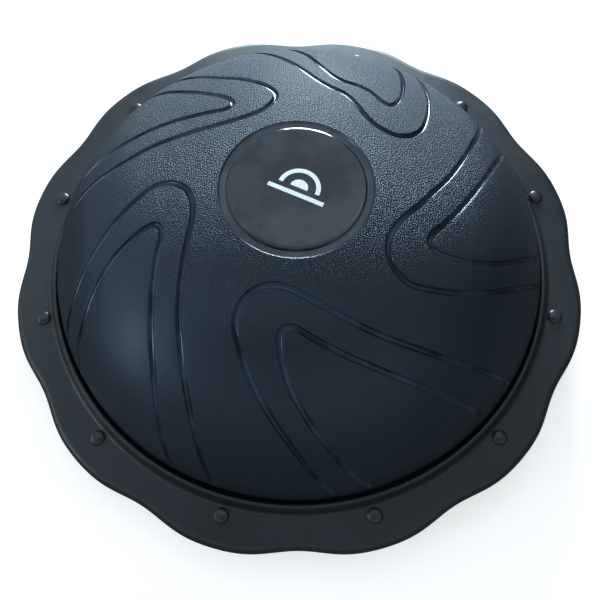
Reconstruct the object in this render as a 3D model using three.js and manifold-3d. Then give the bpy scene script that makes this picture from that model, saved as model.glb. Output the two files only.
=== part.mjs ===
// Balance dome trainer: a soft PVC dome clamped between a scalloped rim ring and a rigid platform.
//
// Millimetres, +Z up. z = 0 is the floor under the rubber feet and the Z axis is the dome's own axis.
// The two mouldings share a scalloped outline of twelve lobes, with one screw and one cap in each lobe.
import * as THREE from "three";
import { mergeVertices } from "three/addons/utils/BufferGeometryUtils.js";
import Module from "manifold-3d";

const wasm = await Module();
wasm.setup();

// ---------------------------------------------------------------- driving dimensions

const GAP = 0.3; // between pieces that touch
const WALL = 3; // wall of the plastic mouldings

const LOBES = 12;
const LOBE_START = Math.PI / LOBES; // the first lobe's angle from +X
const RIM_RADIUS = 300; // over the lobes
const SCALLOP_WAVE = 3.93; // first harmonic of the scallops
const SCALLOP_FLAT = -0.72; // second harmonic: broad lobes and narrower notches
const ROUND_UP_TO = 280; // inside this radius the mouldings are plain rings
const SCALLOPED_FROM = 292; // outside this radius they follow the scallops fully

const FOOT_HEIGHT = 5; // the platform's underside stands this far over the floor
const FOOT_RADIUS = 17;
const FOOT_CIRCLE = 232;
const FOOT_SOCKET = 1.2; // depth of the socket in the platform
const FOOT_BEVEL = 1.5;
const FEET = 6;

const SEAT_TOP = 31.7; // top of the platform, where the bladder is clamped
const SEAT_INNER = 247;
const SEAT_OUTER = 265.5;
const DISH_FLAT = 262; // radius of the platform's flat underside, where its edge starts to curve up
const DISH_RADIUS = 292; // of the platform's edge
const RIB_CIRCLES = [95, 170]; // inner radii of the round ribs
const SKIRT_BOTTOM = 16;
const SKIRT_DRAFT = 1.6; // the skirt draws in this much towards its lower edge
const SHOULDER = 12; // width of the rim's rounded outer shoulder
const WIDEST_Z = 36; // height of the rim's widest line
const FACE_Z = 44.5; // flat top face of the rim ring
const LIP_TOP = 54.5; // raised lip around the dome
const LIP_INNER = 252.8;
const LIP_OUTER = 256.4;
const LIP_FOOT = 261.6;
const LIP_ROUND = 1.6; // rounding of the lip's top edges

const FLOOR_SHEET = 2.5; // bladder floor
const SKIN = 3.2; // dome skin
const FLANGE_RADIUS = 263; // outer edge of the clamped bladder

const DOME_RADIUS = 249;
const DOME_RISE = 136; // of the full curve over the lip, before its top is flattened for the badge
const DOME_POWER = 1.75; // exponent of the dome's superelliptical outline
const RECESS_RADIUS = 67.4; // shallow round recess that the badge lies in
const RECESS_DEPTH = 1.4;
const BADGE_RADIUS = 60.9;
const BADGE_THICK = 1.2;
const BADGE_CROWN = 1.2; // the recess floor and the badge rise this much to their middle
const BADGE_BEVEL = 0.5;

const SCREW_CIRCLE = 271.4;
const SCREW_RADIUS = 2.5;
const SCREW_HEAD_RADIUS = 4.7;
const SCREW_HEAD = 2.7;
const SCREW_LENGTH = 24;
const SCREW_POINT = 4; // length of the tapered point
const HEAD_BEVEL = 1.2;
const BOSS_RADIUS = 7.2;
const POCKET_RADIUS = 5.8; // counterbore under each cap
const POCKET_DEPTH = 5.2;
const CAP_RADIUS = 7.3;
const CAP_HEIGHT = 3.4;

const WELL_RADIUS = 26; // finger well around the air valve
const VALVE_FLANGE_RADIUS = 14;
const VALVE_NECK_RADIUS = 8;
const VALVE_BORE_RADIUS = 5;
const VALVE_FLANGE = 2.3; // thickness
const VALVE_TOP = 44;
const PLUG_HEAD_RADIUS = 10;
const PLUG_HEAD = 4; // thickness
const PLUG_BEVEL = 0.8;
const STEM_TAPER = 3; // length of the stem's tapered end
const TAB_WIDTH = 13;
const TAB_THICK = 3;
const TAB_HEIGHT = 5;

const RIM_SIDES = 72; // sides of the scalloped mouldings, six to a lobe
const ROUND_SIDES = 48; // of the large round pieces
const SMALL_SIDES = 24; // of the valve and the feet
const HARDWARE_SIDES = 10; // of screws, caps and their holes

// ---------------------------------------------------------------- derived heights

const SHEET_BOTTOM = SEAT_TOP + GAP;
const FLANGE_BOTTOM = SHEET_BOTTOM + FLOOR_SHEET + GAP;
const FLANGE_TOP = FLANGE_BOTTOM + SKIN;
const CLAMP_BOTTOM = FLANGE_TOP + GAP;
const SCREW_SEAT = FACE_Z - POCKET_DEPTH;
const RECESS_FLOOR = domeHeight(RECESS_RADIUS) - RECESS_DEPTH;

// ---------------------------------------------------------------- materials

const rimPlastic = plastic(0x23262a, 0.48);
const platformPlastic = plastic(0x1d1f22, 0.6);
const capPlastic = plastic(0x202327, 0.4);
const domeVinyl = plastic(0x272c31, 0.55);
const badgeVinyl = plastic(0x14161a, 0.2);
const sheetVinyl = plastic(0x2a2c2f, 0.7);
const footRubber = plastic(0x151515, 0.85);
const valveVinyl = plastic(0x303338, 0.6);
const plugPlastic = plastic(0x3a3d42, 0.5);
const zincSteel = new THREE.MeshStandardMaterial({ color: 0x9a9da0, roughness: 0.35, metalness: 1 });

function plastic(color, roughness) {
  return new THREE.MeshStandardMaterial({ color, roughness, metalness: 0 });
}

// ---------------------------------------------------------------- geometry helpers

// A solid of revolution about Z from [radius, z] points. The profile starts and ends on the axis,
// or goes round a ring's section once.
function turned(points, segments) {
  const profile = points.map(([r, z]) => new THREE.Vector2(r, z));
  const onAxis = points[0][0] === 0;
  if (THREE.ShapeUtils.area(profile) < 0) profile.reverse();
  if (!onAxis) profile.push(profile[0].clone());
  return new THREE.LatheGeometry(profile, segments).rotateX(Math.PI / 2);
}

// A plain cylinder standing on z = bottom.
function post(radius, bottom, top, segments) {
  return turned([[0, bottom], [radius, bottom], [radius, top], [0, top]], segments);
}

function toSolid(geometry) {
  const bare = geometry.clone();
  bare.deleteAttribute("normal");
  bare.deleteAttribute("uv");
  const merged = mergeVertices(bare, 1e-4);
  return new wasm.Manifold(
    new wasm.Mesh({
      numProp: 3,
      vertProperties: merged.attributes.position.array,
      triVerts: new Uint32Array(merged.index.array),
    }),
  );
}

function toGeometry(solid) {
  const mesh = solid.getMesh();
  const geometry = new THREE.BufferGeometry();
  geometry.setAttribute("position", new THREE.BufferAttribute(mesh.vertProperties, 3));
  geometry.setIndex(new THREE.BufferAttribute(mesh.triVerts, 1));
  geometry.computeVertexNormals();
  return geometry;
}

// Joins every geometry of `added` to the base, then cuts every geometry of `removed` from it.
function build(base, added, removed) {
  let solid = toSolid(base);
  for (const geometry of added) solid = solid.add(toSolid(geometry));
  for (const geometry of removed) solid = solid.subtract(toSolid(geometry));
  return toGeometry(solid);
}

// How far the scalloped outline stands in from the full rim radius at an angle about Z.
function scallopDepth(angle) {
  const phase = LOBES * (angle - LOBE_START);
  const wave = SCALLOP_WAVE * (1 - Math.cos(phase));
  return wave + SCALLOP_FLAT * (1 - Math.cos(2 * phase));
}

// Presses the scallops into a turned moulding, fading them out towards its round inner part.
function scalloped(geometry) {
  const at = geometry.attributes.position;
  for (let i = 0; i < at.count; i++) {
    const r = Math.hypot(at.getX(i), at.getY(i));
    const angle = Math.atan2(at.getY(i), at.getX(i));
    const share = THREE.MathUtils.smoothstep(r, ROUND_UP_TO, SCALLOPED_FROM);
    const scale = r > 0 ? 1 - (share * scallopDepth(angle)) / r : 1;
    at.setX(i, at.getX(i) * scale);
    at.setY(i, at.getY(i) * scale);
  }
  return geometry;
}

// The angles of `count` equally spaced places, starting in the middle of the first lobe.
function anglesRound(count) {
  return Array.from({ length: count }, (_, i) => LOBE_START + (i * 2 * Math.PI) / count);
}

// A copy of a geometry moved out to a circle about Z.
function placedAt(geometry, radius, angle) {
  return geometry.clone().translate(radius * Math.cos(angle), radius * Math.sin(angle), 0);
}

// Height of the dome's outer skin at a radius.
function domeHeight(r) {
  const across = (r / DOME_RADIUS) ** DOME_POWER;
  return LIP_TOP + DOME_RISE * (1 - across) ** (1 / DOME_POWER);
}

// ---------------------------------------------------------------- parts

// The dish's curved edge, from its flat bottom out and up to the seat: a quarter of an oval.
function dishEdge(width, height, bottom) {
  const steps = 4;
  return Array.from({ length: steps + 1 }, (_, i) => {
    const t = (i / steps) * (Math.PI / 2);
    return [DISH_FLAT + width * Math.sin(t), bottom + height * (1 - Math.cos(t))];
  });
}

// The platform: a ribbed dish with a clamping seat, screw bosses and a finger well for the valve.
function basePlatform() {
  const bottom = FOOT_HEIGHT;
  const rise = SEAT_TOP - bottom;
  const outside = dishEdge(DISH_RADIUS - DISH_FLAT, rise, bottom);
  const inside = dishEdge(DISH_RADIUS - WALL - DISH_FLAT, rise - WALL, bottom + WALL);
  const dish = scalloped(
    turned([[0, bottom], ...outside, ...inside.reverse(), [0, bottom + WALL]], RIM_SIDES),
  );
  const rootZ = bottom + WALL / 2; // ribs start inside the dish's floor
  const seatWall = SEAT_OUTER - WALL;
  const seat = turned(
    [
      [seatWall, rootZ],
      [SEAT_OUTER, rootZ],
      [SEAT_OUTER, SEAT_TOP],
      [SEAT_INNER, SEAT_TOP],
      [SEAT_INNER, SEAT_TOP - WALL],
      [seatWall, SEAT_TOP - WALL],
    ],
    ROUND_SIDES,
  );
  const ringRibs = RIB_CIRCLES.map((r) =>
    turned([[r, rootZ], [r + WALL, rootZ], [r + WALL, SEAT_TOP], [r, SEAT_TOP]], ROUND_SIDES),
  );
  const hub = turned(
    [
      [WELL_RADIUS - 1, rootZ],
      [WELL_RADIUS + WALL, rootZ],
      [WELL_RADIUS + WALL, SEAT_TOP],
      [WELL_RADIUS - 1, SEAT_TOP],
    ],
    SMALL_SIDES,
  );
  const ribInner = WELL_RADIUS + 1;
  const ribOuter = SEAT_OUTER - WALL / 2;
  const ribs = Array.from({ length: LOBES }, (_, i) =>
    new THREE.BoxGeometry(ribOuter - ribInner, WALL, SEAT_TOP - rootZ)
      .translate((ribInner + ribOuter) / 2, 0, (SEAT_TOP + rootZ) / 2)
      .rotateZ((i * 2 * Math.PI) / LOBES),
  );
  const bossGeometry = post(BOSS_RADIUS, bottom + WALL + 1, SEAT_TOP, HARDWARE_SIDES);
  const bosses = anglesRound(LOBES).map((angle) => placedAt(bossGeometry, SCREW_CIRCLE, angle));
  const pilotBottom = SCREW_SEAT - SCREW_LENGTH - 1;
  const pilotGeometry = post(SCREW_RADIUS + GAP, pilotBottom, SEAT_TOP + 1, HARDWARE_SIDES);
  const pilots = anglesRound(LOBES).map((angle) => placedAt(pilotGeometry, SCREW_CIRCLE, angle));
  const socketGeometry = post(FOOT_RADIUS + GAP, bottom - 1, bottom + FOOT_SOCKET, SMALL_SIDES);
  const sockets = anglesRound(FEET).map((angle) => placedAt(socketGeometry, FOOT_CIRCLE, angle));
  const well = post(WELL_RADIUS, bottom - 1, SEAT_TOP + 1, SMALL_SIDES);
  return build(dish, [seat, hub, ...ringRibs, ...ribs, ...bosses], [well, ...pilots, ...sockets]);
}

// The rim ring: raised lip, flat face, rounded shoulder and scalloped skirt, hollow from below.
function clampRing() {
  const drop = FACE_Z - WIDEST_Z;
  const flatTo = RIM_RADIUS - SHOULDER;
  const arc = (width, height) =>
    [0, 1, 2, 3].map((i) => {
      const t = (i * Math.PI) / 6;
      return [flatTo + width * Math.sin(t), WIDEST_Z + height * Math.cos(t)];
    });
  const shell = scalloped(
    turned(
      [
        [LIP_INNER, CLAMP_BOTTOM],
        [LIP_INNER, LIP_TOP - LIP_ROUND],
        [(LIP_INNER + LIP_OUTER) / 2, LIP_TOP],
        [LIP_OUTER, LIP_TOP - LIP_ROUND],
        [LIP_FOOT - LIP_ROUND, FACE_Z + LIP_ROUND],
        [LIP_FOOT, FACE_Z],
        ...arc(SHOULDER, drop),
        [RIM_RADIUS - SKIRT_DRAFT, SKIRT_BOTTOM],
        [RIM_RADIUS - SKIRT_DRAFT - WALL, SKIRT_BOTTOM],
        ...arc(SHOULDER - WALL, drop - WALL).reverse(),
        [FLANGE_RADIUS, FACE_Z - WALL],
        [FLANGE_RADIUS, CLAMP_BOTTOM],
      ],
      RIM_SIDES,
    ),
  );
  const bossTop = FACE_Z - WALL / 2;
  const bossGeometry = post(BOSS_RADIUS, SEAT_TOP + GAP, bossTop, HARDWARE_SIDES);
  const bosses = anglesRound(LOBES).map((angle) => placedAt(bossGeometry, SCREW_CIRCLE, angle));
  const pocketGeometry = post(POCKET_RADIUS, SCREW_SEAT, FACE_Z + 1, HARDWARE_SIDES);
  const pockets = anglesRound(LOBES).map((angle) => placedAt(pocketGeometry, SCREW_CIRCLE, angle));
  const holeRadius = SCREW_RADIUS + GAP;
  const holeGeometry = post(holeRadius, SEAT_TOP - 1, SCREW_SEAT + 1, HARDWARE_SIDES);
  const holes = anglesRound(LOBES).map((angle) => placedAt(holeGeometry, SCREW_CIRCLE, angle));
  return build(shell, bosses, [...pockets, ...holes]);
}

// The dome: one skin, open underneath, with a clamped flange, a side wall and a recess for the badge.
function domeShell() {
  const steps = 9;
  const toRecess = Math.acos((RECESS_RADIUS / DOME_RADIUS) ** (DOME_POWER / 2));
  const curve = (radius, rise, share) => {
    const t = share * toRecess;
    const z = LIP_TOP + rise * Math.sin(t) ** (2 / DOME_POWER);
    return [radius * Math.cos(t) ** (2 / DOME_POWER), z];
  };
  const shares = Array.from({ length: steps + 1 }, (_, i) => i / steps);
  const outer = shares.map((share) => curve(DOME_RADIUS, DOME_RISE, share)).reverse();
  const inner = shares.map((share) => curve(DOME_RADIUS - SKIN, DOME_RISE - SKIN, share));
  const wallDraft = 0.4;
  return turned(
    [
      [0, RECESS_FLOOR + BADGE_CROWN],
      [RECESS_RADIUS - wallDraft, RECESS_FLOOR],
      ...outer,
      [DOME_RADIUS, FLANGE_TOP],
      [FLANGE_RADIUS, FLANGE_TOP],
      [FLANGE_RADIUS, FLANGE_BOTTOM],
      [DOME_RADIUS - SKIN, FLANGE_BOTTOM],
      ...inner,
      [0, RECESS_FLOOR + BADGE_CROWN - SKIN],
    ],
    ROUND_SIDES,
  );
}

// The round badge that is bonded into the recess on top of the dome.
function domeBadge() {
  const low = RECESS_FLOOR + GAP;
  const top = low + BADGE_THICK;
  return turned(
    [
      [0, low + BADGE_CROWN],
      [BADGE_RADIUS, low],
      [BADGE_RADIUS, top - BADGE_BEVEL],
      [BADGE_RADIUS - BADGE_BEVEL, top],
      [0, top + BADGE_CROWN],
    ],
    ROUND_SIDES,
  );
}

// The bladder's flat floor sheet, with a hole for the valve neck.
function bladderFloor() {
  const hole = VALVE_NECK_RADIUS + GAP;
  const top = SHEET_BOTTOM + FLOOR_SHEET;
  return turned(
    [[hole, SHEET_BOTTOM], [FLANGE_RADIUS, SHEET_BOTTOM], [FLANGE_RADIUS, top], [hole, top]],
    ROUND_SIDES,
  );
}

// The valve body: a flange under the floor sheet and a neck that stands up into the bladder.
function valveBody() {
  const flangeBottom = SEAT_TOP - VALVE_FLANGE;
  return turned(
    [
      [VALVE_BORE_RADIUS, flangeBottom],
      [VALVE_FLANGE_RADIUS, flangeBottom],
      [VALVE_FLANGE_RADIUS, SEAT_TOP],
      [VALVE_NECK_RADIUS, SEAT_TOP],
      [VALVE_NECK_RADIUS, VALVE_TOP],
      [VALVE_BORE_RADIUS, VALVE_TOP],
    ],
    SMALL_SIDES,
  );
}

// The air plug: a stem in the valve's bore, a flat head under its flange and a pull tab.
function valvePlug() {
  const headTop = SEAT_TOP - VALVE_FLANGE - GAP;
  const headBottom = headTop - PLUG_HEAD;
  const stem = VALVE_BORE_RADIUS - GAP;
  const stemTop = VALVE_TOP - 1;
  const body = turned(
    [
      [0, headBottom],
      [PLUG_HEAD_RADIUS - PLUG_BEVEL, headBottom],
      [PLUG_HEAD_RADIUS, headBottom + PLUG_BEVEL],
      [PLUG_HEAD_RADIUS, headTop],
      [stem, headTop],
      [stem, stemTop - STEM_TAPER],
      [stem * 0.75, stemTop],
      [0, stemTop],
    ],
    SMALL_SIDES,
  );
  const overlap = 1; // the tab starts inside the head
  const tab = new THREE.BoxGeometry(TAB_THICK, TAB_WIDTH, TAB_HEIGHT + overlap);
  tab.translate(0, 0, headBottom + (overlap - TAB_HEIGHT) / 2);
  return build(body, [tab], []);
}

// A self-tapping screw, head up, whose point ends inside the platform's boss.
function clampScrew() {
  const under = SCREW_SEAT + GAP;
  return turned(
    [
      [0, under - SCREW_LENGTH],
      [SCREW_RADIUS, under - SCREW_LENGTH + SCREW_POINT],
      [SCREW_RADIUS, under],
      [SCREW_HEAD_RADIUS, under],
      [SCREW_HEAD_RADIUS, under + SCREW_HEAD - HEAD_BEVEL],
      [SCREW_HEAD_RADIUS - HEAD_BEVEL, under + SCREW_HEAD],
      [0, under + SCREW_HEAD],
    ],
    HARDWARE_SIDES,
  );
}

// The domed cap that closes a screw's pocket.
function rimCap() {
  const stem = POCKET_RADIUS - GAP;
  const stemBottom = SCREW_SEAT + SCREW_HEAD + 2 * GAP;
  const rest = FACE_Z + GAP;
  return turned(
    [
      [0, stemBottom],
      [stem, stemBottom],
      [stem, rest],
      [CAP_RADIUS, rest],
      [CAP_RADIUS * 0.95, rest + CAP_HEIGHT * 0.4],
      [CAP_RADIUS * 0.7, rest + CAP_HEIGHT * 0.84],
      [0, rest + CAP_HEIGHT],
    ],
    HARDWARE_SIDES,
  );
}

// A round rubber foot, pressed into its socket in the platform.
function rubberFoot() {
  return turned(
    [
      [0, 0],
      [FOOT_RADIUS - FOOT_BEVEL, 0],
      [FOOT_RADIUS, FOOT_BEVEL],
      [FOOT_RADIUS, FOOT_HEIGHT + FOOT_SOCKET - GAP],
      [0, FOOT_HEIGHT + FOOT_SOCKET - GAP],
    ],
    SMALL_SIDES,
  );
}

// ---------------------------------------------------------------- assembly

const trainer = new THREE.Group();

function addPart(parent, name, geometry, material) {
  const mesh = new THREE.Mesh(geometry, material);
  mesh.name = name;
  parent.add(mesh);
  return mesh;
}

// One named copy of a piece at each of `count` places on a circle about Z.
function addRound(parent, name, geometry, material, count, radius) {
  anglesRound(count).forEach((angle, i) => {
    const mesh = addPart(parent, `${name}_${String(i + 1).padStart(2, "0")}`, geometry, material);
    mesh.position.set(radius * Math.cos(angle), radius * Math.sin(angle), 0);
  });
}

const base = new THREE.Group();
addPart(base, "base_platform", basePlatform(), platformPlastic);
addPart(base, "clamp_ring", clampRing(), rimPlastic);
addPart(base, "bladder_floor", bladderFloor(), sheetVinyl);
addPart(base, "valve_body", valveBody(), valveVinyl);
addRound(base, "clamp_screw", clampScrew(), zincSteel, LOBES, SCREW_CIRCLE);
addRound(base, "rim_cap", rimCap(), capPlastic, LOBES, SCREW_CIRCLE);
addRound(base, "rubber_foot", rubberFoot(), footRubber, FEET, FOOT_CIRCLE);

const dome = new THREE.Group();
addPart(dome, "dome_shell", domeShell(), domeVinyl);
addPart(dome, "dome_badge", domeBadge(), badgeVinyl);

trainer.add(base, dome);
addPart(trainer, "valve_plug", valvePlug(), plugPlastic);

export default trainer;
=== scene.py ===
"""Looks of the balance dome trainer: a grained vinyl dome with swirling grooves in a scalloped black ring.

Metres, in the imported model's frame: +Z up, z = 0 on the floor, -Y towards the user.
"""
import math

import bmesh
import bpy
import numpy as np
from mathutils import Matrix, Vector
from mathutils.geometry import delaunay_2d_cdt


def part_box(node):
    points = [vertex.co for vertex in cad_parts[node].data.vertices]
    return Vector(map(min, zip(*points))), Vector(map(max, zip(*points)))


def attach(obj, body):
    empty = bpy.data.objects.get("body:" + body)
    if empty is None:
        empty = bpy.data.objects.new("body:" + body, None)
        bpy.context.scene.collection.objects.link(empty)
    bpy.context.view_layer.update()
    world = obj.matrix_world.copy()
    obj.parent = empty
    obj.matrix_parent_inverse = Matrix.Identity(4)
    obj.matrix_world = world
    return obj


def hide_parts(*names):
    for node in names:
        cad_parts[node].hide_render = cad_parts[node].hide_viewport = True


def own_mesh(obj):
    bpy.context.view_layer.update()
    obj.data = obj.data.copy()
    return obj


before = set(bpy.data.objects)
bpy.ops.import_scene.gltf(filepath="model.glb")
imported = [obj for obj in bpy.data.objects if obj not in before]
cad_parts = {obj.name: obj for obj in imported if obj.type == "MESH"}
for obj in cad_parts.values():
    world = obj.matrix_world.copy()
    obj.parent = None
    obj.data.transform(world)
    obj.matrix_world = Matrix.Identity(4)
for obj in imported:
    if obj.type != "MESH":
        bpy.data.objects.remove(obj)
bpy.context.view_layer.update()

MM = 0.001

# ------------------------------------------------------------------ sizes, in metres

LOBES = 12
LOBE_START = math.pi / LOBES
RIM_RADIUS = 300 * MM
SCALLOP_WAVE = 3.93 * MM
SCALLOP_FLAT = -0.72 * MM
ROUND_UP_TO = 280 * MM  # the ring is round inside this radius
SCALLOPED_FROM = 292 * MM  # and has its full scallops outside this one

RING_LOW, RING_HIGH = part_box("clamp_ring")
DOME_LOW, DOME_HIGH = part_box("dome_shell")
BADGE_LOW, BADGE_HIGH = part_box("dome_badge")
PLATFORM_LOW, PLATFORM_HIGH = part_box("base_platform")
FOOT_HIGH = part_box("rubber_foot_01")[1]
CAP_LOW, CAP_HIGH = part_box("rim_cap_01")
PLUG_LOW, PLUG_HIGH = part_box("valve_plug")
VALVE_LOW, VALVE_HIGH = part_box("valve_body")

LIP_TOP = RING_HIGH.z
FACE_Z = LIP_TOP - 10 * MM
SKIRT_BOTTOM = RING_LOW.z
WIDEST_Z = 36 * MM
LIP_INNER = 252.8 * MM
LIP_OUTER = 256.4 * MM
LIP_FOOT = 261.6 * MM

DOME_RADIUS = 249 * MM
DOME_RISE = 136 * MM
DOME_POWER = 1.75
SKIN = 3.2 * MM
FLANGE_RADIUS = DOME_HIGH.x
FLANGE_BOTTOM = DOME_LOW.z
FLANGE_TOP = FLANGE_BOTTOM + SKIN
RECESS_RADIUS = 67.4 * MM
RECESS_DEPTH = 1.4 * MM
CROWN = 1.2 * MM  # rise of the recess floor and of the badge on it, from edge to middle
BADGE_THICK = 1.2 * MM
BADGE_RADIUS = BADGE_HIGH.x
MARK_PLACE = np.array([2, -2]) * MM
MARK_TURN = math.radians(-25)
MARK_PROUD = 0.07 * MM
MARK_SUNK = 0.05 * MM

CAP_CIRCLE = 271.4 * MM
CAP_RADIUS = 7.3 * MM
FOOT_CIRCLE = 232 * MM
FOOT_RADIUS = 17 * MM
PLATFORM_RADIUS = 292 * MM
WELL_RADIUS = 26 * MM
BEAD_RADII = (92, 128, 164, 200)
BEAD_HEIGHT = 0.9 * MM

VALVE_FLANGE = 14 * MM
VALVE_NECK = 8 * MM
VALVE_BORE = 5 * MM
PLUG_RADIUS = PLUG_HIGH.x
PLUG_STEM = 4.7 * MM
PLUG_HEAD = 4 * MM

# ------------------------------------------------------------------ profiles and meshes


def rounded(corners, steps=6):
    """A profile from (r, z, fillet) corners, each fillet an arc. Ends stay sharp."""
    points = []
    last = len(corners) - 1
    for i, (r, z, fillet) in enumerate(corners):
        if fillet == 0 or i in (0, last):
            points.append((r, z))
            continue
        here = Vector((r, z))
        back = (Vector(corners[i - 1][:2]) - here).normalized()
        ahead = (Vector(corners[i + 1][:2]) - here).normalized()
        half = back.angle(ahead) / 2
        centre = here + (back + ahead).normalized() * fillet / math.sin(half)
        start = here + back * fillet / math.tan(half) - centre
        turn = start.angle_signed(here + ahead * fillet / math.tan(half) - centre)
        for k in range(steps + 1):
            spoke = Matrix.Rotation(-turn * k / steps, 2) @ start
            points.append(tuple(centre + spoke))
    return points


def scallop_depth(angle):
    """How far the scalloped outline stands in from the full rim radius."""
    phase = LOBES * (angle - LOBE_START)
    return SCALLOP_WAVE * (1 - np.cos(phase)) + SCALLOP_FLAT * (1 - np.cos(2 * phase))


def turned(profile, sides, closed=False, scalloped=False):
    """Vertices and faces of a profile turned about Z. A point on the axis becomes one vertex."""
    angles = np.arange(sides) * 2 * math.pi / sides
    verts, rings = [], []
    for r, z in profile:
        if r < 1e-9:
            rings.append([len(verts)])
            verts.append((0.0, 0.0, z))
            continue
        radius = np.full(sides, r)
        if scalloped:
            share = np.clip((r - ROUND_UP_TO) / (SCALLOPED_FROM - ROUND_UP_TO), 0, 1)
            radius -= share * share * (3 - 2 * share) * scallop_depth(angles)
        rings.append(list(range(len(verts), len(verts) + sides)))
        verts += [(a * math.cos(t), a * math.sin(t), z) for a, t in zip(radius, angles)]
    faces = []
    pairs = list(zip(rings, rings[1:]))
    if closed:
        pairs.append((rings[-1], rings[0]))
    for low, high in pairs:
        for i in range(sides):
            j = (i + 1) % sides
            if len(low) == 1:
                faces.append((low[0], high[j], high[i]))
            elif len(high) == 1:
                faces.append((low[i], low[j], high[0]))
            else:
                faces.append((low[i], low[j], high[j], high[i]))
    return verts, faces


def add_object(name, verts, faces, material, at=(0, 0, 0), smooth_angle=40):
    """A mesh object whose place is in its vertices, with faces turned to point outwards."""
    mesh = bpy.data.meshes.new(name)
    mesh.from_pydata([tuple(Vector(v) + Vector(at)) for v in verts], [], faces)
    finish_mesh(mesh, smooth_angle)
    mesh.materials.append(material)
    obj = bpy.data.objects.new(name, mesh)
    bpy.context.scene.collection.objects.link(obj)
    return obj


def finish_mesh(mesh, smooth_angle):
    """Outward normals, and smooth shading except over edges sharper than smooth_angle."""
    work = bmesh.new()
    work.from_mesh(mesh)
    bmesh.ops.remove_doubles(work, verts=work.verts, dist=1e-6)
    bmesh.ops.recalc_face_normals(work, faces=work.faces)
    for face in work.faces:
        face.smooth = True
    for edge in work.edges:
        edge.smooth = len(edge.link_faces) < 2 or edge.calc_face_angle() < math.radians(smooth_angle)
    work.to_mesh(mesh)
    work.free()


def places_round(count):
    """Even directions round Z that start in the middle of the first lobe."""
    return [LOBE_START + i * 2 * math.pi / count for i in range(count)]


def on_circle(radius, angle):
    return (radius * math.cos(angle), radius * math.sin(angle), 0)


# ------------------------------------------------------------------ materials


class Nodes:
    """A small helper around one material's node tree."""

    def __init__(self, name):
        self.material = bpy.data.materials.new(name)
        self.material.use_nodes = True
        self.tree = self.material.node_tree
        self.shader = self.tree.nodes["Principled BSDF"]

    def add(self, kind, inputs=None, **settings):
        node = self.tree.nodes.new("ShaderNode" + kind)
        for key, value in settings.items():
            setattr(node, key, value)
        for key, value in (inputs or {}).items():
            self.set(node, key, value)
        return node

    def set(self, node, key, value):
        socket = node.inputs[key]
        if isinstance(value, bpy.types.NodeSocket):
            self.tree.links.new(value, socket)
        else:
            socket.default_value = value

    def shade(self, **values):
        for key, value in values.items():
            self.set(self.shader, key.replace("_", " "), value)

    def place(self):
        return self.add("TexCoord").outputs["Object"]

    def noise(self, scale, detail=4, where=None, roughness=0.55):
        inputs = {"Vector": where or self.place(), "Scale": scale, "Detail": detail, "Roughness": roughness}
        return self.add("TexNoise", inputs).outputs["Fac"]

    def ramp(self, value, low, high, to_low=0.0, to_high=1.0):
        inputs = {"Value": value, "From Min": low, "From Max": high, "To Min": to_low, "To Max": to_high}
        return self.add("MapRange", inputs, interpolation_type="SMOOTHSTEP").outputs["Result"]

    def maths(self, operation, a, b=0.0):
        return self.add("Math", {0: a, 1: b}, operation=operation).outputs[0]

    def mix(self, share, a, b):
        node = self.add("Mix", {"Factor": share}, data_type="RGBA")
        self.set(node, 6, a)
        self.set(node, 7, b)
        return node.outputs[2]

    def vector(self, operation, a, b=(0, 0, 0), output="Vector"):
        return self.add("VectorMath", {0: a, 1: b}, operation=operation).outputs[output]

    def bump(self, height, strength, distance):
        inputs = {"Height": height, "Strength": strength, "Distance": distance}
        return self.add("Bump", inputs).outputs["Normal"]


def moulded_plastic(name, dark, light, rough, grain=0.25):
    """Satin moulded plastic: a fine spark-eroded texture, faint flow clouds and handling marks."""
    n = Nodes(name)
    clouds = n.noise(9, 3)
    marks = n.noise(70, 6)
    fine = n.noise(2600, 2)
    worn = n.ramp(marks, 0.62, 0.75, 0, 0.5)
    colour = n.mix(n.ramp(clouds, 0.3, 0.7), dark, light)
    n.shade(Base_Color=n.mix(worn, colour, tuple(1.5 * c for c in light[:3]) + (1,)))
    patches = n.maths("ADD", clouds, n.maths("MULTIPLY", marks, 0.6))
    n.shade(Roughness=n.ramp(patches, 0.5, 1.1, rough - 0.06, rough + 0.08))
    n.shade(Normal=n.bump(fine, grain, 0.00006), Specular_IOR_Level=0.36)
    return n.material


PEBBLES_PER_METRE = 590.0
PEBBLE_HEIGHT = 0.7 * MM
PEBBLE_WAVER = 0.7 * MM
# Between these heights the grain fades out downwards, and the colour goes from about three times lighter
# above (painted sheen) to darker below (painted shade).
SMOOTH_DARK_BELOW = 105 * MM
GRAINED_LIT_ABOVE = 172 * MM
SMOOTH_DARK_LEAN = 0.35  # how much further up the dome is worn smooth, and painted darker as shade, towards the front
SMOOTH_DARK_GRAIN = 0.08  # share of the grain, and of the lighter painted-sheen colour, left where it is worn


def laid_flat(n, place):
    """The dome's surface laid flat round its top: a point keeps its direction and its chord from the top."""
    from_top = n.vector("SUBTRACT", place, (0, 0, LIP_TOP + DOME_RISE))
    outwards = n.vector("MULTIPLY", place, (1, 1, 0))
    chord = n.vector("LENGTH", from_top, output="Value")
    radius = n.vector("LENGTH", outwards, output="Value")
    stretch = n.maths("DIVIDE", chord, radius)
    return n.add("VectorMath", {0: outwards, "Scale": stretch}, operation="SCALE").outputs["Vector"]


def pebbled(n, place):
    """The height of a leather grain's pebbles, from 0 in the creases to 1 on top."""
    waver = n.add("TexNoise", {"Vector": place, "Scale": 300.0, "Detail": 2.0}).outputs["Color"]
    where = n.vector("ADD", laid_flat(n, place), n.vector("MULTIPLY", waver, (PEBBLE_WAVER,) * 3))
    cells = {"Vector": where, "Scale": PEBBLES_PER_METRE, "Randomness": 0.7}
    distance = n.add("TexVoronoi", cells, feature="F1", voronoi_dimensions="2D").outputs["Distance"]
    return n.ramp(distance, 0.1, 0.7, 1.0, 0.0)


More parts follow.
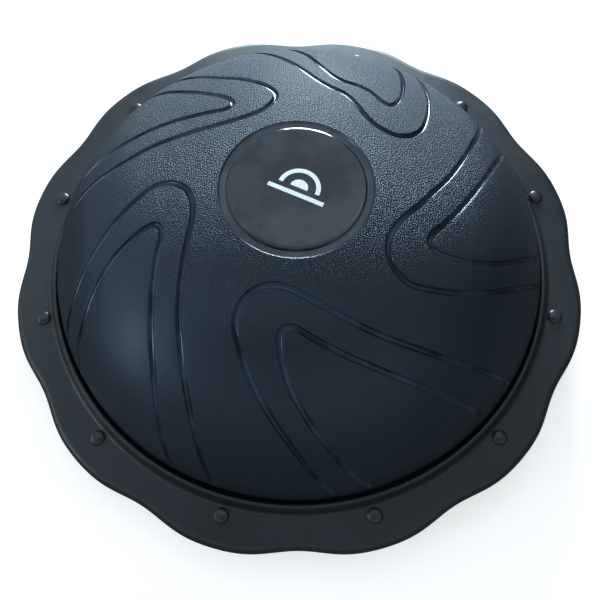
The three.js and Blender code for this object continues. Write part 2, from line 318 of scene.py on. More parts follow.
def grained_vinyl(name):
    """Soft blue-black PVC with a pebbled leather grain, worn smooth on the lower front of the dome. The
    grained upper dome is coloured about three times lighter as a painted sheen, so the smooth lower front is
    darker as painted shade, and the creases between pebbles are darkened as painted shade.
    """
    n = Nodes(name)
    place = n.place()
    pebble = pebbled(n, place)
    split = n.add("SeparateXYZ", {"Vector": place})
    lean_height = n.maths("ADD", split.outputs["Z"], n.maths("MULTIPLY", split.outputs["Y"], SMOOTH_DARK_LEAN))
    # One mask sets both the grain and the painted sheen on the upper dome.
    grain = n.ramp(lean_height, SMOOTH_DARK_BELOW, GRAINED_LIT_ABOVE, SMOOTH_DARK_GRAIN, 1.0)
    clouds = n.noise(7, 3, place)
    scuffs = n.noise(38, 8, place, 0.65)
    # Painted sheen and shade: the smooth lower zone keeps a dark colour, and the grained upper dome gets one
    # about three times lighter.
    worn = n.mix(n.ramp(clouds, 0.35, 0.65), (0.0095, 0.0130, 0.0180, 1), (0.0120, 0.0165, 0.0225, 1))
    lit_top_colour = n.mix(n.ramp(clouds, 0.35, 0.65), (0.0290, 0.0360, 0.0440, 1), (0.0350, 0.0430, 0.0520, 1))
    colour = n.mix(grain, worn, lit_top_colour)
    # Painted shade: the colour is darkened in the creases between the pebbles.
    creases = n.maths("MULTIPLY", n.ramp(pebble, 0.05, 0.5, 1.0, 0.0), grain)
    colour = n.mix(n.maths("MULTIPLY", creases, 0.75), colour, (0.006, 0.008, 0.011, 1))
    n.shade(Base_Color=n.mix(n.ramp(scuffs, 0.60, 0.78, 0, 0.3), colour, (0.022, 0.030, 0.038, 1)))
    gloss = n.ramp(scuffs, 0.35, 0.7, 0.37, 0.45)
    n.shade(Roughness=n.maths("ADD", gloss, n.maths("MULTIPLY", creases, 0.22)))
    n.shade(Specular_IOR_Level=0.26, Specular_Tint=(0.66, 0.86, 1.0, 1))
    n.shade(Normal=n.bump(n.maths("MULTIPLY", pebble, grain), 1.0, PEBBLE_HEIGHT))
    return n.material


def smooth_vinyl(name, colour, rough, tint=(1, 1, 1, 1)):
    """Plain PVC of the grooves, badge and sheet: nearly flat, with faint waves, lighter cloudy patches as a
    painted reflection, and dust.
    """
    n = Nodes(name)
    dust = n.noise(240, 8, roughness=0.7)
    waves = n.noise(30, 2)
    # Painted reflection: lighter cloudy patches in the colour, standing in for reflected clouds; the dust
    # patches below are real dust.
    reflection_clouds = n.ramp(n.noise(24, 3), 0.42, 0.60, 0, 1.0)
    lighter = tuple(min(1, 3.0 * c) for c in colour[:3]) + (1,)
    share = n.maths("ADD", n.ramp(dust, 0.55, 0.8, 0, 0.2), reflection_clouds)
    n.shade(Base_Color=n.mix(share, colour, lighter))
    n.shade(Roughness=n.ramp(dust, 0.35, 0.7, rough, rough + 0.08))
    n.shade(Normal=n.bump(waves, 0.25, 0.0012), Specular_IOR_Level=0.4, Specular_Tint=tint)
    return n.material


def rubber(name, colour):
    """Matt rubber with a fine, slightly lighter bloom."""
    n = Nodes(name)
    fine = n.noise(900, 4)
    n.shade(Base_Color=n.mix(n.ramp(fine, 0.4, 0.7), colour, tuple(1.8 * c for c in colour[:3]) + (1,)))
    n.shade(Roughness=n.ramp(fine, 0.3, 0.7, 0.72, 0.9))
    n.shade(Normal=n.bump(fine, 0.4, 0.00015))
    return n.material


def zinc_steel(name):
    """Zinc-plated steel with a fine mottled sheen."""
    n = Nodes(name)
    fine = n.noise(700, 5)
    n.shade(Base_Color=n.mix(fine, (0.50, 0.50, 0.49, 1), (0.66, 0.67, 0.68, 1)))
    n.shade(Metallic=1.0, Roughness=n.ramp(fine, 0.3, 0.7, 0.28, 0.42))
    n.shade(Normal=n.bump(fine, 0.1, 0.00005))
    return n.material


def printed_white(name):
    """White screen print, slightly broken where the ink is thin."""
    n = Nodes(name)
    ink = n.noise(1500, 4)
    n.shade(Base_Color=n.mix(n.ramp(ink, 0.3, 0.62), (0.55, 0.57, 0.58, 1), (0.86, 0.87, 0.88, 1)))
    n.shade(Roughness=n.ramp(ink, 0.3, 0.7, 0.35, 0.5))
    return n.material


RIM = moulded_plastic("rim_plastic", (0.0100, 0.0118, 0.0138, 1), (0.0135, 0.0156, 0.0178, 1), 0.42)
PLATFORM = moulded_plastic("platform_plastic", (0.014, 0.015, 0.017, 1), (0.019, 0.021, 0.023, 1), 0.55, 0.4)
CAPS = moulded_plastic("cap_plastic", (0.012, 0.014, 0.0165, 1), (0.016, 0.0185, 0.021, 1), 0.30, 0.1)
PLUG = moulded_plastic("plug_plastic", (0.045, 0.050, 0.056, 1), (0.060, 0.065, 0.070, 1), 0.45, 0.15)
VINYL = grained_vinyl("dome_vinyl")
GROOVE = smooth_vinyl("groove_vinyl", (0.0085, 0.0115, 0.0155, 1), 0.12, tint=(0.42, 0.58, 0.72, 1))
BADGE = smooth_vinyl("badge_vinyl", (0.005, 0.007, 0.009, 1), 0.10)
RECESS = smooth_vinyl("recess_vinyl", (0.0080, 0.0116, 0.0160, 1), 0.20)
SHEET = smooth_vinyl("sheet_vinyl", (0.024, 0.026, 0.029, 1), 0.5)
VALVE = smooth_vinyl("valve_vinyl", (0.030, 0.033, 0.037, 1), 0.45)
FEET = rubber("foot_rubber", (0.009, 0.009, 0.010, 1))
STEEL = zinc_steel("zinc_steel")
PRINT = printed_white("badge_print")

# ------------------------------------------------------------------ rim ring


def make_ring():
    """The scalloped ring: a rounded lip along the dome, a flat face and a rounded shoulder into a skirt."""
    wall = 3 * MM
    profile = rounded(
        [
            (LIP_INNER, FLANGE_TOP + 0.3 * MM, 0),
            (LIP_INNER, LIP_TOP, 1.5 * MM),
            (LIP_OUTER, LIP_TOP, 2.0 * MM),
            (LIP_FOOT, FACE_Z, 6.0 * MM),
            (RIM_RADIUS, FACE_Z, 8.2 * MM),
            (RIM_RADIUS, WIDEST_Z - 1 * MM, 1 * MM),
            (RIM_RADIUS - 1.6 * MM, SKIRT_BOTTOM, 0.9 * MM),
            (RIM_RADIUS - 4.6 * MM, SKIRT_BOTTOM, 0.9 * MM),
            (RIM_RADIUS - wall, WIDEST_Z, 4 * MM),
            (RIM_RADIUS - 8 * MM, FACE_Z - wall, 4 * MM),
            (FLANGE_RADIUS, FACE_Z - wall, 0),
            (FLANGE_RADIUS, FLANGE_TOP + 0.3 * MM, 0),
        ]
    )
    verts, faces = turned(profile, 36 * LOBES, closed=True, scalloped=True)
    ring = add_object("rim_ring", verts, faces, RIM)
    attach(ring, "base")
    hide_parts("clamp_ring")


def make_caps():
    """Twelve domed caps over the clamp screws."""
    seat = FACE_Z + 0.25 * MM
    top = CAP_HIGH.z
    profile = rounded(
        [
            (0, CAP_LOW.z, 0),
            (5.4 * MM, CAP_LOW.z, 0.3 * MM),
            (5.4 * MM, seat, 0),
            (CAP_RADIUS, seat, 0.25 * MM),
            (CAP_RADIUS, seat + 1.0 * MM, 0.8 * MM),
            (5.6 * MM, seat + 2.4 * MM, 2.5 * MM),
            (2.8 * MM, top - 0.15 * MM, 5 * MM),
            (0, top, 0),
        ],
        5,
    )
    for i, angle in enumerate(places_round(LOBES), 1):
        verts, faces = turned(profile, 40)
        cap = add_object(f"button_cap_{i:02d}", verts, faces, CAPS, on_circle(CAP_CIRCLE, angle))
        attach(cap, "base")
        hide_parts(f"rim_cap_{i:02d}")


# ------------------------------------------------------------------ dome

GROOVE_DEPTH = 2.2 * MM
GROOVE_WIDTH = 5.8 * MM
GROOVE_FADE = 6 * MM  # length over which a groove runs out at each end
GROOVE_STEP = 2.4 * MM
GRID_STEP = 5 * MM
GRID_CLEARANCE = 0.7 * GROOVE_WIDTH + 2.2 * MM
RECESS_SIDES = 240
EDGE_SIDES = 420

# Each swirl is an outer and an inner hairpin groove, in millimetres on the dome's skin laid flat: distance
# from the top along the skin, turned to its direction about Z. Five swirls stand 72 degrees apart, each
# turned back here to the first one's place. The soft skin pulls two of them out of shape.
PLAIN_SWIRL = (
    [(38, -289), (19, -261), (-4, -228), (-25, -195), (-39, -167), (-48, -140), (-51.5, -121), (-46, -104),
     (-34, -93), (-19, -90), (-3, -94), (27, -110), (66, -128), (105, -140), (160, -153), (237, -170)],
    [(77, -282), (56, -261), (32, -232), (11, -204), (-4, -177), (-11, -155), (-14, -139), (-13, -129),
     (-7, -124.5), (1, -126), (13, -133), (37, -145), (72, -159), (110, -172), (160, -190), (208, -208)],
)
LEFT_SWIRL = (
    [(30, -290), (8, -252), (-9, -212), (-24, -176), (-40, -146), (-49, -119), (-48, -101), (-39, -92),
     (-24, -88.5), (-6, -92), (14, -100), (44, -115.5), (74, -131), (115, -147), (161, -164), (234, -176)],
    [(70, -284), (48, -258), (28, -222), (13, -185), (0, -155), (-8, -136), (-11, -123), (-7, -115),
     (0, -115), (12, -123), (34, -137.5), (58, -152.5), (86, -167), (120, -182), (160, -197), (206, -210)],
)
BACK_SWIRL = (
    [(34, -288), (12, -256), (-12, -222), (-27, -200), (-40, -174), (-49, -149), (-52, -130), (-47, -112),
     (-36, -102.5), (-21, -100), (-4, -104), (13, -113), (29, -118.5), (46, -118.5), (66, -122),
     (100, -134.5), (160, -153), (237, -170)],
    [(77, -282), (56, -261), (30, -236), (11, -210), (-4, -183), (-12, -162), (-15, -146), (-11, -136.5),
     (-3, -136), (9, -140), (24, -141.5), (38, -138), (54, -138.5), (78, -149), (110, -168), (160, -190),
     (208, -208)],
)
SWIRLS = [PLAIN_SWIRL, PLAIN_SWIRL, BACK_SWIRL, LEFT_SWIRL, PLAIN_SWIRL]


class Meridian:
    """The dome's outer skin from its top down: distance along it to radius, height and slope."""

    def __init__(self):
        t = np.linspace(math.pi / 2, 0, 4001)
        self.r = DOME_RADIUS * np.cos(t) ** (2 / DOME_POWER)
        self.z = LIP_TOP + DOME_RISE * np.sin(t) ** (2 / DOME_POWER)
        self.r[0] = 0
        self.s = np.concatenate([[0], np.cumsum(np.hypot(np.diff(self.r), np.diff(self.z)))])
        self.length = self.s[-1]
        self.slope = np.arctan2(-np.gradient(self.z, self.s), np.gradient(self.r, self.s))

    def lift(self, flat, depth):
        """Points on the flat-laid skin to points in space, sunk by depth."""
        s = np.hypot(flat[:, 0], flat[:, 1])
        angle = np.arctan2(flat[:, 1], flat[:, 0])
        r = np.interp(s, self.s, self.r)
        z = np.interp(s, self.s, self.z)
        slope = np.interp(s, self.s, self.slope)
        r = r - depth * np.sin(slope)
        z = z - depth * np.cos(slope)
        return np.stack([r * np.cos(angle), r * np.sin(angle), z], 1)

    def along(self, radius):
        return float(np.interp(radius, self.r, self.s))

    def height(self, radius):
        return float(np.interp(radius, self.r, self.z))


def smooth_curve(points, spacing):
    """A centripetal Catmull-Rom curve through points, resampled evenly."""
    p = np.array(points, float)
    p = np.vstack([2 * p[0] - p[1], p, 2 * p[-1] - p[-2]])
    out = []
    for a, b, c, d in zip(p, p[1:], p[2:], p[3:]):
        knots = [0]
        for u, v in ((a, b), (b, c), (c, d)):
            knots.append(knots[-1] + max(np.hypot(*(v - u)) ** 0.5, 1e-9))
        t0, t1, t2, t3 = knots
        t = np.linspace(t1, t2, 24, endpoint=False)[:, None]
        a1 = (t1 - t) / (t1 - t0) * a + (t - t0) / (t1 - t0) * b
        a2 = (t2 - t) / (t2 - t1) * b + (t - t1) / (t2 - t1) * c
        a3 = (t3 - t) / (t3 - t2) * c + (t - t2) / (t3 - t2) * d
        b1 = (t2 - t) / (t2 - t0) * a1 + (t - t0) / (t2 - t0) * a2
        b2 = (t3 - t) / (t3 - t1) * a2 + (t - t1) / (t3 - t1) * a3
        out.append((t2 - t) / (t2 - t1) * b1 + (t - t1) / (t2 - t1) * b2)
    out = np.vstack(out + [p[-2:-1]])
    s = np.concatenate([[0], np.cumsum(np.hypot(*np.diff(out, axis=0).T))])
    ends = np.array([0, 0.4, 0.9, 1.4]) * MM
    middle = np.arange(3 * MM, s[-1] - 3 * MM, spacing)
    at = np.concatenate([ends, middle, s[-1] - ends[::-1]])
    curve = np.stack([np.interp(at, s, out[:, 0]), np.interp(at, s, out[:, 1])], 1)
    return curve, at, s[-1]


# A groove's section: share of its half width, and share of its depth. Mesh edges are held along the points
# numbered in GROOVE_LINES.
GROOVE_LINES = (2, 4, 8, 10)
GROOVE_SECTION = [(-1.3, 0), (-1.1, 0.02), (-0.98, 0.12), (-0.84, 0.50), (-0.66, 0.80), (-0.36, 0.96), (0, 1),
                  (0.36, 0.96), (0.66, 0.80), (0.84, 0.50), (0.98, 0.12), (1.1, 0.02), (1.3, 0)]


def groove_strip(points, turn):
    """The vertices of one groove on the flat-laid skin, their depths and the lines that join them."""
    curve, at, length = smooth_curve(np.array(points) * MM, GROOVE_STEP)
    c, s = math.cos(turn), math.sin(turn)
    curve = curve @ np.array([[c, s], [-s, c]])
    tangent = np.gradient(curve, axis=0)
    tangent /= np.linalg.norm(tangent, axis=1)[:, None]
    across = np.stack([-tangent[:, 1], tangent[:, 0]], 1)
    fade = np.clip(np.minimum(at, length - at) / GROOVE_FADE, 0, 1)
    fade = fade * fade * (3 - 2 * fade)
    verts = np.concatenate([curve + across * (share * GROOVE_WIDTH / 2) for share, _ in GROOVE_SECTION])
    depth = np.concatenate([fade * d * GROOVE_DEPTH for _, d in GROOVE_SECTION])
    count = len(curve)
    lines = [(k * count + i, k * count + i + 1) for k in GROOVE_LINES for i in range(count - 1)]
    return verts, depth, lines, curve


def ring_points(s, count):
    angles = np.arange(count) * 2 * math.pi / count
    return np.stack([s * np.cos(angles), s * np.sin(angles)], 1)


def open_grid(skin, inner_s, centres):
    """An even triangular grid on the flat-laid skin, clear of its two edges and of the grooves' centres."""
    across = np.arange(-skin.length, skin.length, GRID_STEP)
    up = np.arange(-skin.length, skin.length, GRID_STEP * math.sqrt(3) / 2)
    grid = np.array([(x + (j % 2) * GRID_STEP / 2, y) for j, y in enumerate(up) for x in across])
    s = np.hypot(*grid.T)
    grid = grid[(s > inner_s + 2.5 * MM) & (s < skin.length - 3 * MM)]
    return grid[[np.min(np.hypot(*(centres - g).T)) > GRID_CLEARANCE for g in grid]]


def dome_skin(skin, inner_s):
    """The grooved part of the dome as (vertices, triangles, depths), from the recess to the dome's edge."""
    flat = [ring_points(inner_s, RECESS_SIDES), ring_points(skin.length, EDGE_SIDES)]
    depth = [np.zeros(RECESS_SIDES), np.zeros(EDGE_SIDES)]
    lines = [(i, (i + 1) % RECESS_SIDES) for i in range(RECESS_SIDES)]
    lines += [(RECESS_SIDES + i, RECESS_SIDES + (i + 1) % EDGE_SIDES) for i in range(EDGE_SIDES)]
    centres = []
    for k, swirl in enumerate(SWIRLS):
        for hairpin in swirl:
            verts, sunk, strip_lines, curve = groove_strip(hairpin, k * 2 * math.pi / len(SWIRLS))
            start = sum(len(f) for f in flat)
            flat.append(verts)
            depth.append(sunk)
            lines += [(start + a, start + b) for a, b in strip_lines]
            centres.append(curve)
    grid = open_grid(skin, inner_s, np.concatenate(centres))
    flat.append(grid)
    depth.append(np.zeros(len(grid)))
    flat, depth = np.concatenate(flat), np.concatenate(depth)
    made = delaunay_2d_cdt([Vector(p) for p in flat], lines, [], 0, 1e-7, True)
    points, faces, origins = np.array([tuple(v) for v in made[0]]), made[2], made[3]
    sunk = np.array([depth[o[0]] if o else 0 for o in origins])
    s = np.hypot(*points.T)
    kept = []
    for face in faces:
        corners = list(face)
        in_recess = np.hypot(*points[corners].mean(0)) < inner_s * math.cos(math.pi / RECESS_SIDES)
        past_edge = s[corners].min() > skin.length - 0.1 * MM
        if not in_recess and not past_edge:
            kept.append(tuple(face))
    return skin.lift(points, sunk), kept, sunk


def recess_profile(skin, rim):
    """The round recess in the dome's top, from its rim to the middle of its crowned floor."""
    floor = skin.height(RECESS_RADIUS) - RECESS_DEPTH
    return rounded(
        [
            (rim, skin.height(rim), 0),
            (RECESS_RADIUS, skin.height(RECESS_RADIUS) - 0.1 * MM, 1.5 * MM),
            (RECESS_RADIUS - 1.0 * MM, floor, 0.7 * MM),
            (RECESS_RADIUS - 4 * MM, floor, 0),
            (0, floor + CROWN, 0),
        ]
    )


def lining_profile(recess_top):
    """The skirt under the lip, the clamped flange and the skin's inner side, up to under the recess."""
    t = np.linspace(0, math.pi / 2, 24)
    liner_r = (DOME_RADIUS - SKIN) * np.cos(t) ** (2 / DOME_POWER)
    liner_z = LIP_TOP + (DOME_RISE - SKIN) * np.sin(t) ** (2 / DOME_POWER)
    liner_top = recess_top - SKIN
    liner = [(r, z) for r, z in zip(liner_r, liner_z) if z < liner_top - 2 * MM]
    return [
        (DOME_RADIUS, LIP_TOP),
        (DOME_RADIUS, LIP_TOP - 8 * MM),
        (DOME_RADIUS, FLANGE_TOP + 1 * MM),
        (DOME_RADIUS + 1 * MM, FLANGE_TOP),
        (FLANGE_RADIUS, FLANGE_TOP),
        (FLANGE_RADIUS, FLANGE_BOTTOM),
        (DOME_RADIUS - SKIN, FLANGE_BOTTOM),
        *liner,
        (0, liner_top),
    ]


def make_dome():
    """The dome in one closed mesh: grooved skin, recess, and the clamped flange with the inner side."""
    skin = Meridian()
    rim = RECESS_RADIUS + 0.8 * MM
    verts, faces, sunk = dome_skin(skin, skin.along(rim))
    verts = [tuple(v) for v in verts]
    materials = [VINYL, GROOVE, RECESS]
    chosen = [int(min(sunk[list(face)]) > 0.1 * GROOVE_DEPTH) for face in faces]
    recess = recess_profile(skin, rim)
    lining = lining_profile(recess[-1][1])
    for profile, sides, material in ((recess, RECESS_SIDES, RECESS), (lining, EDGE_SIDES, VINYL)):
        more, more_faces = turned(profile, sides)
        start = len(verts)
        verts += more
        faces += [tuple(start + i for i in face) for face in more_faces]
        chosen += [materials.index(material)] * len(more_faces)
    mesh = bpy.data.meshes.new("dome_skin")
    mesh.from_pydata(verts, [], faces)
    mesh.polygons.foreach_set("material_index", np.array(chosen, np.int32))
    finish_mesh(mesh, 50)
    for material in materials:
        mesh.materials.append(material)
    dome = bpy.data.objects.new("dome_skin", mesh)
    bpy.context.scene.collection.objects.link(dome)
    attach(dome, "dome")
    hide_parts("dome_shell")
    press_flat(dome)


def press_flat(obj):
    """Gives the piece its own copy of its mesh."""
    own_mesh(obj)


def make_badge():
    """The badge disc with its chamfered edge, and the mark on it."""
    low = BADGE_LOW.z
    edge_top = low + BADGE_THICK
    top = BADGE_HIGH.z
    profile = rounded(
        [
            (0, low + CROWN, 0),
            (BADGE_RADIUS, low, 0),
            (BADGE_RADIUS, edge_top - 0.7 * MM, 0.25 * MM),
            (BADGE_RADIUS - 1.6 * MM, edge_top, 0.6 * MM),
            (BADGE_RADIUS - 4 * MM, edge_top + 0.15 * MM, 2 * MM),
            (BADGE_RADIUS * 0.5, edge_top + 0.85 * MM, 8 * MM),
            (0, top, 0),
        ]
    )
    verts, faces = turned(profile, 160)
    badge = add_object("badge_disc", verts, faces, BADGE)
    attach(badge, "dome")
    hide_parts("dome_badge")
    press_flat(badge)
    radii, heights = zip(*sorted(p for p in profile if p[1] > edge_top + 0.1 * MM))
    make_mark(lambda r: np.interp(r, radii, heights))


def patch_faces(start, rows, columns):
    """Faces of a closed thin sheet: its upper points row by row from start, then its lower points."""
    count = rows * columns
    faces = []
    for i in range(rows - 1):
        for j in range(columns - 1):
            a = start + i * columns + j
            quad = (a, a + 1, a + columns + 1, a + columns)
            faces += [quad, tuple(v + count for v in reversed(quad))]
    edge = [i * columns for i in range(rows)] + [(rows - 1) * columns + j for j in range(1, columns)]
    edge += [i * columns + columns - 1 for i in range(rows - 2, -1, -1)] + list(range(columns - 2, 0, -1))
    for a, b in zip(edge, edge[1:] + edge[:1]):
        faces.append((start + a, start + b, start + b + count, start + a + count))
    return faces


def make_mark(height):
    """A generic mark on the badge: half a dome over a bar. height gives the badge's surface by radius."""
    half_turn = np.linspace(0, math.pi, 33)
    arch = [[(r * math.cos(a), r * math.sin(a)) for r in (15, 17, 19)] for a in half_turn]
    core = [[(r * math.cos(a), r * math.sin(a)) for r in (0.2, 4, 8)] for a in half_turn]
    bar = [[(x, y) for y in (-8.5, -6.5, -4.5)] for x in np.linspace(26, -26, 27)]
    c, s = math.cos(MARK_TURN), math.sin(MARK_TURN)
    verts, faces = [], []
    for patch in (arch, core, bar):
        flat = np.array(patch).reshape(-1, 2) * MM @ np.array([[c, s], [-s, c]]) + MARK_PLACE
        z = height(np.hypot(*flat.T))
        faces += patch_faces(len(verts), len(patch), len(patch[0]))
        for lift in (MARK_PROUD, -MARK_SUNK):
            verts += [(x, y, h + lift) for (x, y), h in zip(flat, z)]
    mark = add_object("badge_mark", verts, faces, PRINT)
    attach(mark, "dome")
    press_flat(mark)


# ------------------------------------------------------------------ underside


def make_platform():
    """A dish with four shallow rings of tread on its underside and a finger well for the valve."""
    bottom = PLATFORM_LOW.z
    top = PLATFORM_HIGH.z
    wall = 3 * MM
    beads = []
    for radius in BEAD_RADII:
        beads += [
            ((radius - 2.4) * MM, bottom, 0.8 * MM),
            ((radius - 1.2) * MM, bottom - BEAD_HEIGHT, 0.7 * MM),
            ((radius + 1.2) * MM, bottom - BEAD_HEIGHT, 0.7 * MM),
            ((radius + 2.4) * MM, bottom, 0.8 * MM),
        ]
    profile = rounded(
        [
            (WELL_RADIUS, top, 0),
            (WELL_RADIUS, bottom, 1.2 * MM),
            *beads,
            (PLATFORM_RADIUS - 24 * MM, bottom, 20 * MM),
            (PLATFORM_RADIUS - 5 * MM, bottom + 7 * MM, 10 * MM),
            (PLATFORM_RADIUS, top, 0.6 * MM),
            (PLATFORM_RADIUS - wall, top, 0.6 * MM),
            (PLATFORM_RADIUS - 8 * MM, bottom + 8 * MM, 6 * MM),
            (PLATFORM_RADIUS - 26 * MM, bottom + wall, 10 * MM),
            (WELL_RADIUS + wall, bottom + wall, 0),
            (WELL_RADIUS + wall, top, 0),
        ],
        4,
    )
    verts, faces = turned(profile, 24 * LOBES, closed=True, scalloped=True)
    platform = add_object("platform_dish", verts, faces, PLATFORM)
    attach(platform, "base")
    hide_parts("base_platform")


def make_feet():
    """Six rubber feet with three round grooves in the face that stands on the floor."""
    top = FOOT_HIGH.z
    grooves = []
    for radius in (12, 8, 4):
        grooves += [
            ((radius + 0.9) * MM, 0, 0.2 * MM),
            ((radius + 0.5) * MM, 0.8 * MM, 0.2 * MM),
            ((radius - 0.5) * MM, 0.8 * MM, 0.2 * MM),
            ((radius - 0.9) * MM, 0, 0.2 * MM),
        ]
    profile = rounded(
        [(0, top, 0), (FOOT_RADIUS, top, 0.3 * MM), (FOOT_RADIUS, 0, 1.4 * MM), *grooves, (0, 0, 0)], 3
    )
    for i, angle in enumerate(places_round(6), 1):
        verts, faces = turned(profile, 56)
        foot = add_object(f"foot_pad_{i:02d}", verts, faces, FEET, on_circle(FOOT_CIRCLE, angle))
        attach(foot, "base")
        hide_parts(f"rubber_foot_{i:02d}")


def make_valve():
    """The air valve: a flange under the floor sheet and a neck into the dome."""
    low, high = VALVE_LOW.z, VALVE_HIGH.z
    flange_top = PLATFORM_HIGH.z
    body = rounded(
        [
            (VALVE_BORE, low, 0),
            (VALVE_FLANGE, low, 0.7 * MM),
            (VALVE_FLANGE, flange_top, 0.2 * MM),
            (VALVE_NECK, flange_top, 0.2 * MM),
            (VALVE_NECK, high, 0.8 * MM),
            (VALVE_BORE, high, 0),
        ]
    )
    verts, faces = turned(body, 64, closed=True)
    valve = add_object("valve_socket", verts, faces, VALVE)
    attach(valve, "base")
    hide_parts("valve_body")


def make_plug():
    """The air plug: a turned head and stem, and a rounded pull tab under the head."""
    head_top = VALVE_LOW.z - 0.3 * MM
    head_bottom = head_top - PLUG_HEAD
    profile = rounded(
        [
            (0, head_bottom, 0),
            (PLUG_RADIUS - 1.8 * MM, head_bottom, 0.8 * MM),
            (PLUG_RADIUS, head_bottom + 1.2 * MM, 0.8 * MM),
            (PLUG_RADIUS, head_top, 0.5 * MM),
            (PLUG_STEM, head_top, 0.3 * MM),
            (PLUG_STEM, PLUG_HIGH.z - 3 * MM, 0.8 * MM),
            (PLUG_STEM - 1.2 * MM, PLUG_HIGH.z, 0.6 * MM),
            (0, PLUG_HIGH.z, 0),
        ]
    )
    verts, faces = turned(profile, 64)
    plug = add_object("air_plug", verts, faces, PLUG)
    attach(plug, "plug")
    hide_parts("valve_plug")
    half, thick = 6.5 * MM, 1.5 * MM
    outline = rounded(
        [
            (-half, head_bottom + 0.6 * MM, 0),
            (-half, PLUG_LOW.z, 2.2 * MM),
            (half, PLUG_LOW.z, 2.2 * MM),
            (half, head_bottom + 0.6 * MM, 0),
        ],
        8,
    )
    count = len(outline)
    verts = [(x, y, z) for x in (-thick, thick) for y, z in outline]
    faces = [tuple(range(count)), tuple(range(2 * count - 1, count - 1, -1))]
    faces += [(i, (i + 1) % count, count + (i + 1) % count, count + i) for i in range(count)]
    tab = add_object("plug_tab", verts, faces, PLUG)
    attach(tab, "plug")


# ------------------------------------------------------------------ carried-over CAD nodes


def dress_cad_nodes():
    """Better materials on the CAD nodes that are shown as they are."""
    dressed = {"bladder_floor": SHEET}
    dressed.update({f"clamp_screw_{i:02d}": STEEL for i in range(1, LOBES + 1)})
    for node, material in dressed.items():
        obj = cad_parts[node]
        obj.data.materials.clear()
        obj.data.materials.append(material)


# ------------------------------------------------------------------ stage, light, camera


FLOOR_HALF = 6.0


def make_floor():
    """A white floor that mirror reflections leave out, because the photograph's dome mirrors none."""
    n = Nodes("floor_white")
    n.shade(Base_Color=(0.60, 0.54, 0.50, 1), Roughness=0.9)
    n.shade(Emission_Color=(1, 1, 1, 1), Emission_Strength=0.60)
    mesh = bpy.data.meshes.new("floor")
    corners = [(x * FLOOR_HALF, y * FLOOR_HALF, 0) for x, y in ((-1, -1), (1, -1), (1, 1), (-1, 1))]
    mesh.from_pydata(corners, [], [(0, 1, 2, 3)])
    mesh.materials.append(n.material)
    floor = bpy.data.objects.new("floor", mesh)
    bpy.context.scene.collection.objects.link(floor)
    floor.visible_glossy = False


LIGHT_DISTANCE = 2.5
LIGHT_AIM = Vector((0, 0, 0.1))
DAYLIGHT = (0.70, 0.87, 1.0)
WORLD_COLOUR = (0.85, 0.93, 1.0, 1)
WORLD_SEEN = 0.95
WORLD_LIGHT = 0.11

# Each soft box: azimuth from +Y towards +X, elevation, angular width and height, in degrees, and radiance.
# The photograph's main light is a low bright window behind the object, with a weaker one on the left.
SOFT_BOXES = {
    "back_window": (4, 10, 20, 14, 104),
    "back_wall": (-50, 12, 60, 16, 1.3),
    "back_fill": (-9, 54, 56, 30, 1.45),
    "left_window": (-96, 24, 46, 18, 2.7),
    "left_pane": (-110, 20, 6, 12, 20),
    "left_wall": (-95, 46, 80, 36, 0.7),
    "right_fill": (106, 46, 50, 30, 0.75),
    "right_top": (54, 62, 26, 20, 1.0),
    "overhead": (-20, 80, 50, 30, 1.0),
    "front_fill": (176, 40, 70, 30, 1.0),
}


def across_at(distance, angle):
    return 2 * distance * math.tan(math.radians(angle / 2))


def make_soft_box(name, azimuth, elevation, wide, tall, radiance):
    """A rectangular area light that faces LIGHT_AIM."""
    lamp = bpy.data.lights.new(name, "AREA")
    lamp.shape = "RECTANGLE"
    lamp.size = across_at(LIGHT_DISTANCE, wide)
    lamp.size_y = across_at(LIGHT_DISTANCE, tall)
    lamp.energy = radiance * math.pi * lamp.size * lamp.size_y
    lamp.color = DAYLIGHT
    obj = bpy.data.objects.new(name, lamp)
    a, e = math.radians(azimuth), math.radians(elevation)
    away = Vector((math.cos(e) * math.sin(a), math.cos(e) * math.cos(a), math.sin(e)))
    obj.location = LIGHT_AIM + away * LIGHT_DISTANCE
    obj.rotation_euler = (-away).to_track_quat("-Z", "Y").to_euler()
    bpy.context.scene.collection.objects.link(obj)


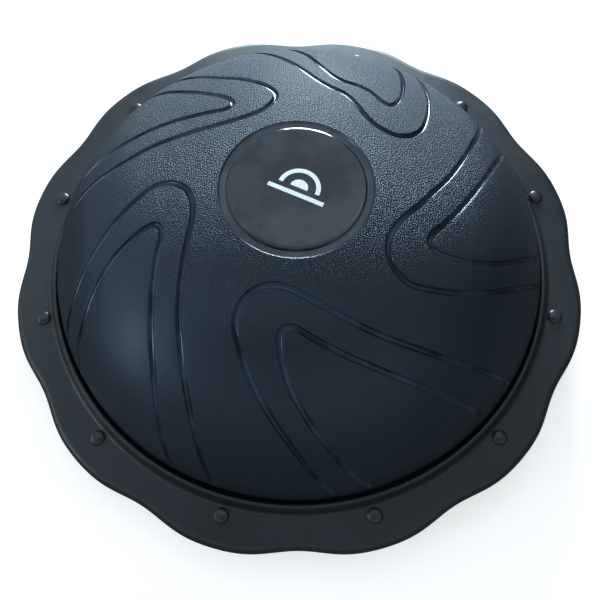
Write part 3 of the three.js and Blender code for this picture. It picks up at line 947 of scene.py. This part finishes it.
def make_world():
    """A near-white background for the camera that lights the object only weakly."""
    scene = bpy.context.scene
    scene.view_settings.view_transform = "Standard"
    scene.world = bpy.data.worlds.new("studio")
    scene.world.use_nodes = True
    tree = scene.world.node_tree
    background = tree.nodes["Background"]
    background.inputs["Color"].default_value = WORLD_COLOUR
    seen = tree.nodes.new("ShaderNodeLightPath").outputs["Is Camera Ray"]
    strength = tree.nodes.new("ShaderNodeMapRange")
    strength.inputs["To Min"].default_value = WORLD_LIGHT
    strength.inputs["To Max"].default_value = WORLD_SEEN
    tree.links.new(seen, strength.inputs["Value"])
    tree.links.new(strength.outputs["Result"], background.inputs["Strength"])


def make_lights():
    for name, numbers in SOFT_BOXES.items():
        make_soft_box(name, *numbers)


CAMERA_LENS = 36.4
SENSOR_WIDTH = 36
CAMERA_ELEVATION = math.radians(68.98)
CAMERA_DISTANCE = 0.6384
CAMERA_ROLL = math.radians(-1.48)
OBJECT_YAW = math.radians(-1.40)
AIM = Vector((0.0006, -0.0479, WIDEST_Z))


def make_camera():
    """The photograph's viewpoint, fitted to the rim, the lip, the caps and the badge."""
    back = Vector((0, -math.cos(CAMERA_ELEVATION), math.sin(CAMERA_ELEVATION)))
    right = Vector((1, 0, 0))
    up = back.cross(right)
    right, up = (
        math.cos(CAMERA_ROLL) * right + math.sin(CAMERA_ROLL) * up,
        math.cos(CAMERA_ROLL) * up - math.sin(CAMERA_ROLL) * right,
    )
    axes = Matrix((right, up, back)).transposed().to_4x4()
    place = Matrix.Translation(AIM + back * CAMERA_DISTANCE) @ axes
    data = bpy.data.cameras.new("camera")
    data.lens = CAMERA_LENS
    data.sensor_width = SENSOR_WIDTH
    camera = bpy.data.objects.new("camera", data)
    camera.matrix_world = Matrix.Rotation(-OBJECT_YAW, 4, "Z") @ place
    bpy.context.scene.collection.objects.link(camera)
    bpy.context.scene.camera = camera


make_ring()
make_caps()
make_dome()
make_badge()
make_platform()
make_feet()
make_valve()
make_plug()
dress_cad_nodes()
make_floor()
make_world()
make_lights()
make_camera()
